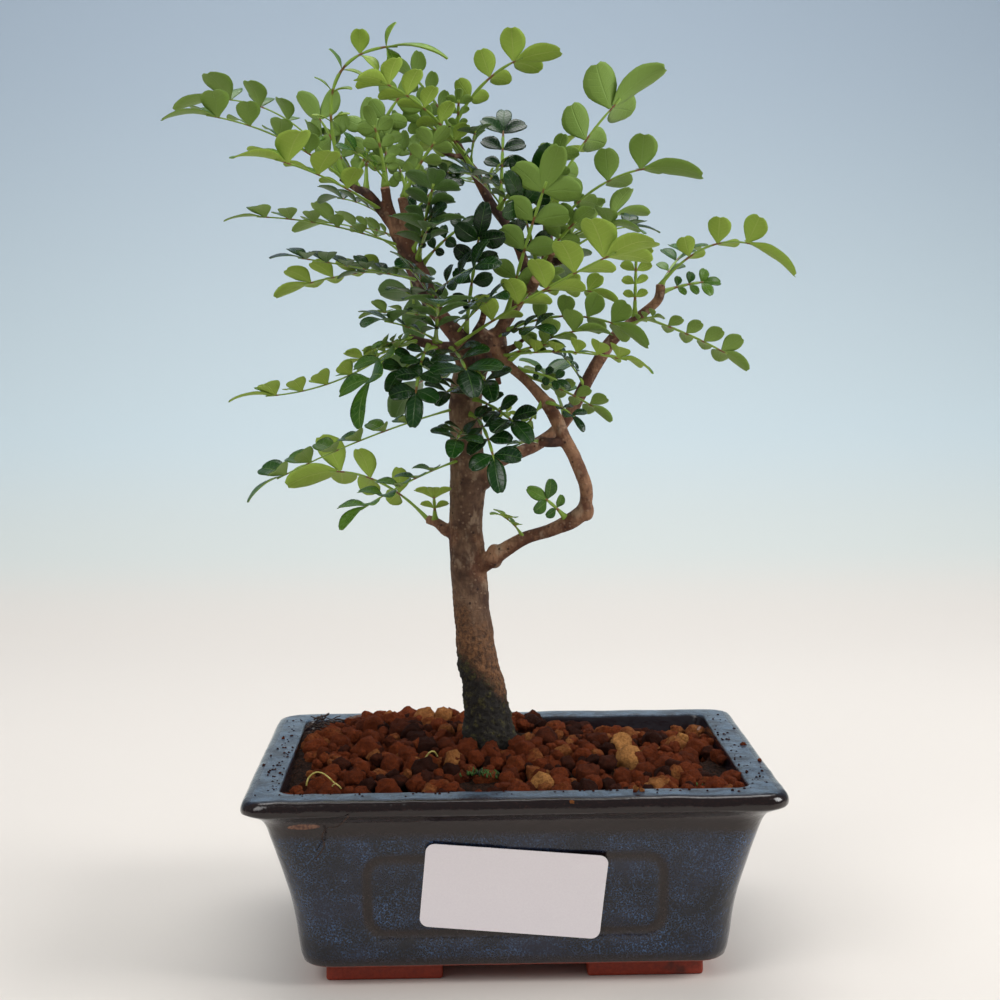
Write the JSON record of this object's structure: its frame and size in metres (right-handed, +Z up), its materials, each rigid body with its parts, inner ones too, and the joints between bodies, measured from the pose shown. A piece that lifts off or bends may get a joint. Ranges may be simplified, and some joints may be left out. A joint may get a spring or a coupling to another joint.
{
  "type": "potted bonsai tree",
  "caption": "Chinese pepper bonsai with a looping side branch and an airy crown of feathery leaves, in a rectangular blue-glazed pot of coarse soil with a blank label.",
  "frame": {"origin": "on the ground under the middle of the whole thing", "axes": "+Z up along the trunk, the labelled long side of the pot faces -Y, +X to the right as it faces the viewer"},
  "size_m": [0.1865, 0.116, 0.2728],
  "materials": {
    "glaze": "mottled dark blue gloss glaze, unglazed brick-red feet",
    "paper": "plain off-white paper",
    "soil": "reddish-brown baked clay grains",
    "bark": "grey-brown bark, mossy at the foot",
    "leaf_young": "pale yellow-green leaf",
    "leaf_full": "mid-green leaf",
    "leaf_deep": "glossy dark green leaf"
  },
  "bodies": {
    "root": {"label": "paper", "leaf_bent_stub": "leaf_full", "leaf_crown_left": "leaf_full", "leaf_crown_mid": "leaf_full", "leaf_far_left": "leaf_full", "leaf_far_left_high": "leaf_full", "leaf_far_left_low": "leaf_young", "leaf_far_right": "leaf_young", "leaf_front": "leaf_young", "leaf_glossy_mid": "leaf_deep", "leaf_glossy_up": "leaf_deep", "leaf_heart_high": "leaf_deep", "leaf_heart_left": "leaf_deep", "leaf_heart_low": "leaf_deep", "leaf_heart_right": "leaf_full", "leaf_inner_left": "leaf_deep", "leaf_inner_mid": "leaf_young", "leaf_knee": "leaf_full", "leaf_knot": "leaf_deep", "leaf_left_dark": "leaf_deep", "leaf_left_high": "leaf_full", "leaf_left_mid": "leaf_deep", "leaf_left_pale": "leaf_young", "leaf_low_left": "leaf_young", "leaf_low_sprig": "leaf_young", "leaf_middle_drop": "leaf_full", "leaf_middle_flat": "leaf_full", "leaf_middle_long": "leaf_young", "leaf_rear_high": "leaf_young", "leaf_rear_left": "leaf_full", "leaf_rear_low": "leaf_deep", "leaf_rear_mid": "leaf_deep", "leaf_rear_right": "leaf_full", "leaf_rear_top": "leaf_full", "leaf_rear_trunk": "leaf_deep", "leaf_right_back": "leaf_full", "leaf_right_flat": "leaf_full", "leaf_right_high": "leaf_full", "leaf_right_low": "leaf_full", "leaf_right_mid": "leaf_full", "leaf_right_small": "leaf_deep", "leaf_right_top": "leaf_full", "leaf_right_up": "leaf_young", "leaf_rising": "leaf_full", "leaf_sky": "leaf_young", "leaf_sky_back": "leaf_full", "leaf_sky_left": "leaf_young", "leaf_sprout": "leaf_young", "leaf_stub_down": "leaf_young", "leaf_stub_face": "leaf_deep", "leaf_stub_left": "leaf_young", "leaf_stub_small": "leaf_full", "leaf_top_arch": "leaf_young", "leaf_top_mid": "leaf_full", "leaf_trunk_drop": "leaf_deep", "leaf_trunk_long": "leaf_full", "leaf_trunk_low": "leaf_full", "pot": "glaze", "soil": "soil", "tree": "bark"}
  },
  "joints": []
}
